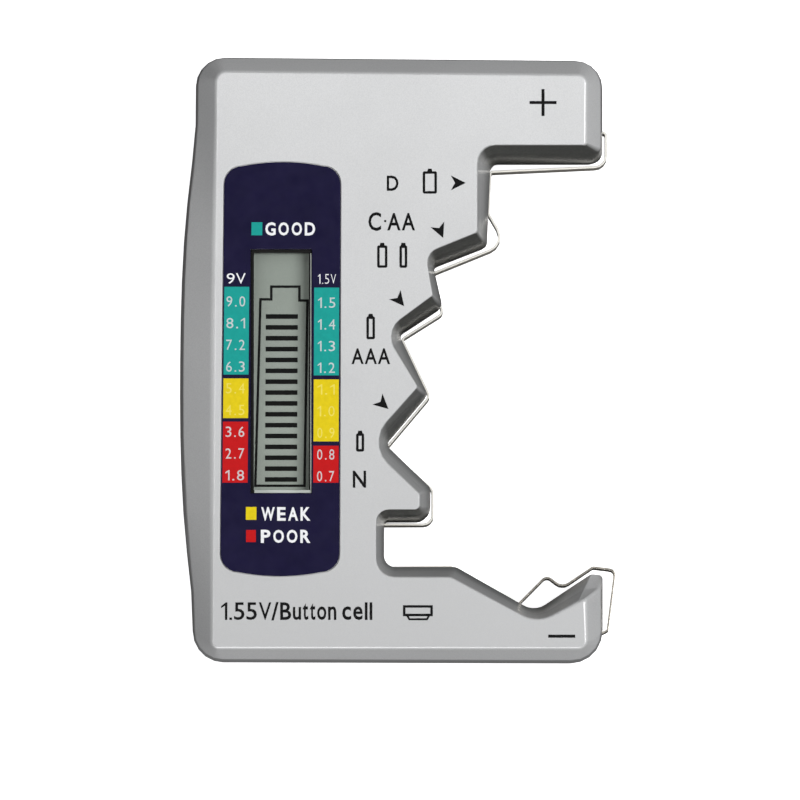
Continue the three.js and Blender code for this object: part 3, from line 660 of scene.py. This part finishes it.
digits.piece("label_numbers", NUMBER_INK, "label_film")
faint.piece("label_pale_numbers", FAINT_INK, "label_film")

# ---------------------------------------------------------------- display segments

BARS = 16
BAR_LEFT, BAR_RIGHT, BAR_HEIGHT = -20.12, -15.24, 0.71
FIRST_BAR, BAR_PITCH, BAR_LEAN = 6.29, 1.653, -0.009

segments = Sheet(GLASS_TOP - 0.02, GLASS_TOP + 0.01)
segments.band([(-21.90, -19.65), (-14.05, -19.65), (-13.60, 8.90), (-14.83, 8.93), (-14.83, 11.03),
               (-19.48, 11.03), (-19.48, 9.10), (-21.12, 9.10)], CELL_LINE)
for bar in range(BARS):
    middle = FIRST_BAR - bar * BAR_PITCH
    lean = BAR_LEAN * bar
    segments.block(BAR_LEFT + lean, middle - BAR_HEIGHT / 2,
                   BAR_RIGHT + lean, middle + BAR_HEIGHT / 2)
segments.piece("lcd_segments", SEGMENT, "lcd_glass")

# A pale strip on the window's edge, along its foot and its right side: a painted highlight in place
# of the window's lit walls.
HIGHLIGHT_OUTER, HIGHLIGHT_FOOT, HIGHLIGHT_SIDE = 0.5, 0.08, 0.34   # outwards from the lens
left, foot, right, head = (c / MM for c in (*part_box("window_lens")[0][:2],
                                            *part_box("window_lens")[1][:2]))
bezel_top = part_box("lcd_bezel")[1].z / MM
highlight_strip = Sheet(bezel_top, bezel_top + 0.03)
highlight_strip.block(left, foot - HIGHLIGHT_OUTER, right + HIGHLIGHT_OUTER, foot - HIGHLIGHT_FOOT)
highlight_strip.block(right + HIGHLIGHT_SIDE, foot - HIGHLIGHT_FOOT, right + HIGHLIGHT_OUTER, head)
highlight_strip.piece("window_painted_highlight", HIGHLIGHT_PAINT, "lcd_glass")

# ---------------------------------------------------------------- carried-over nodes

paint("display_label", NAVY)
paint("window_lens", clear_lens())
paint("lcd_bezel", BLACK)
LCD = display_glass()
paint("lcd_front_glass", LCD)
paint("lcd_rear_glass", LCD)
paint("lcd_reflector", REFLECTOR)
paint("lcd_foam_pad", FOAM)
paint("zebra_connector", ZEBRA)
paint("circuit_board", circuit_laminate())
paint("controller_blob", RESIN)
RESISTOR = banded_resistor()
paint("load_resistor_a", RESISTOR)
paint("load_resistor_b", RESISTOR)
paint("boost_inductor", FERRITE)
paint("filter_capacitor", SLEEVE)
paint("signal_diode", RESIN)
for number in range(1, 5):
    paint(f"case_screw_{number}", SCREW)
    paint(f"board_screw_{number}", SCREW)
for lead in ("positive_lead", "nine_volt_positive_lead"):
    paint(lead, RED_LEAD)
for lead in ("negative_lead", "nine_volt_negative_lead"):
    paint(lead, BLACK_LEAD)

# ---------------------------------------------------------------- floor, light and camera

TABLE_RINGS = ((3.3, 0.0), (3.9, 0.3), (4.3, 1.5), (4.3, 4.0))   # radius and height, metres
TABLE_SIDES = 48
TABLE_DROP = 0.02                   # mm that the table lies below the case
TABLE_GLOW = 0.86                   # its own light, which keeps it evenly pale


def floor():
    """A large pale table with raised sides that also hold the camera of every view."""
    mesh = bpy.data.meshes.new("table")
    form = bmesh.new()
    previous = [form.verts.new((0, 0, 0))]
    for radius, height in TABLE_RINGS:
        turns = [2 * math.pi * i / TABLE_SIDES for i in range(TABLE_SIDES)]
        ring = [form.verts.new((radius * math.cos(turn), radius * math.sin(turn), height))
                for turn in turns]
        for i in range(TABLE_SIDES):
            j = (i + 1) % TABLE_SIDES
            if len(previous) == 1:
                form.faces.new([previous[0], ring[i], ring[j]])
            else:
                form.faces.new([previous[i], ring[i], ring[j], previous[j]])
        previous = ring
    form.to_mesh(mesh)
    form.free()
    table = bpy.data.objects.new("table", mesh)
    table.location.z = -TABLE_DROP * MM
    bpy.context.scene.collection.objects.link(table)
    shade = Shader("table_paper", Roughness=0.9, Specular_IOR_Level=0.1)
    shade.surface.inputs["Emission Color"].default_value = (1, 1, 1, 1)
    shade.surface.inputs["Emission Strength"].default_value = TABLE_GLOW
    shade.colour(shade.mixed(shade.spread(shade.noise(40, 2), 0, 1), grey(0.86), grey(0.84)))
    mesh.materials.append(shade.material)
    table.visible_diffuse = False
    table.visible_glossy = False


def softbox(name, position, size, power):
    """A rectangular studio lamp that points at the tester. Metres and watts."""
    lamp = bpy.data.lights.new(name, "AREA")
    lamp.shape = "RECTANGLE"
    lamp.size, lamp.size_y = size
    lamp.energy = power
    holder = bpy.data.objects.new(name, lamp)
    holder.location = position
    holder.rotation_euler = (-Vector(position)).to_track_quat("-Z", "Y").to_euler()
    bpy.context.scene.collection.objects.link(holder)


# Brightness of the room from straight down (0) over the horizon (0.5) to straight up (1).
ROOM = ((0.50, 0.08), (0.62, 0.22), (0.80, 0.35), (0.92, 0.16))
ROOM_FLOOR, ROOM_CEILING = 0.03, 0.10
ROOM_STRENGTH = 0.6


def surroundings():
    """A room with pale walls, a darker ceiling and nothing bright below the table's level."""
    world = bpy.data.worlds.new("room")
    bpy.context.scene.world = world
    world.use_nodes = True
    tree = world.node_tree
    place = tree.nodes.new("ShaderNodeTexCoord")
    split = tree.nodes.new("ShaderNodeSeparateXYZ")
    ramp = tree.nodes.new("ShaderNodeValToRGB")
    rise = tree.nodes.new("ShaderNodeMapRange")
    rise.inputs["From Min"].default_value = -1
    rise.inputs["From Max"].default_value = 1
    tree.links.new(place.outputs["Generated"], split.inputs["Vector"])
    tree.links.new(split.outputs["Z"], rise.inputs["Value"])
    tree.links.new(rise.outputs["Result"], ramp.inputs["Fac"])
    tree.links.new(ramp.outputs["Color"], tree.nodes["Background"].inputs["Color"])
    stops = ramp.color_ramp.elements
    stops[0].position, stops[0].color = 0.0, grey(ROOM_FLOOR)
    stops[1].position, stops[1].color = 1.0, grey(ROOM_CEILING)
    for position, level in ROOM:
        stops.new(position).color = grey(level)
    tree.nodes["Background"].inputs["Strength"].default_value = ROOM_STRENGTH


floor()
surroundings()
softbox("right", (0.78, 0.05, 1.12), (0.50, 0.9), 14.3)
softbox("left", (-0.70, 0.10, 1.2), (0.12, 0.9), 2.5)
softbox("far", (0.0, 0.80, 1.15), (0.9, 0.25), 2.0)
softbox("near", (-0.20, -1.22, 0.42), (0.9, 0.25), 6.8)

TARGET = Vector((0.27, -6.32, 16)) * MM
TILT = math.radians(3.3)            # the tester is seen from slightly below its middle
DISTANCE = 3.0                      # metres
SPAN = 0.1216                       # width of the view at the target, metres
SENSOR = 36                         # mm
camera_data = bpy.data.cameras.new("camera")
camera_data.sensor_width = SENSOR
camera_data.lens = SENSOR * DISTANCE / SPAN
camera_data.clip_start = 0.05
camera_data.clip_end = 20
camera = bpy.data.objects.new("camera", camera_data)
camera.location = TARGET + DISTANCE * Vector((0, -math.sin(TILT), math.cos(TILT)))
camera.rotation_euler = (TILT, 0, 0)
bpy.context.scene.collection.objects.link(camera)
bpy.context.scene.camera = camera
bpy.context.scene.view_settings.view_transform = "Standard"
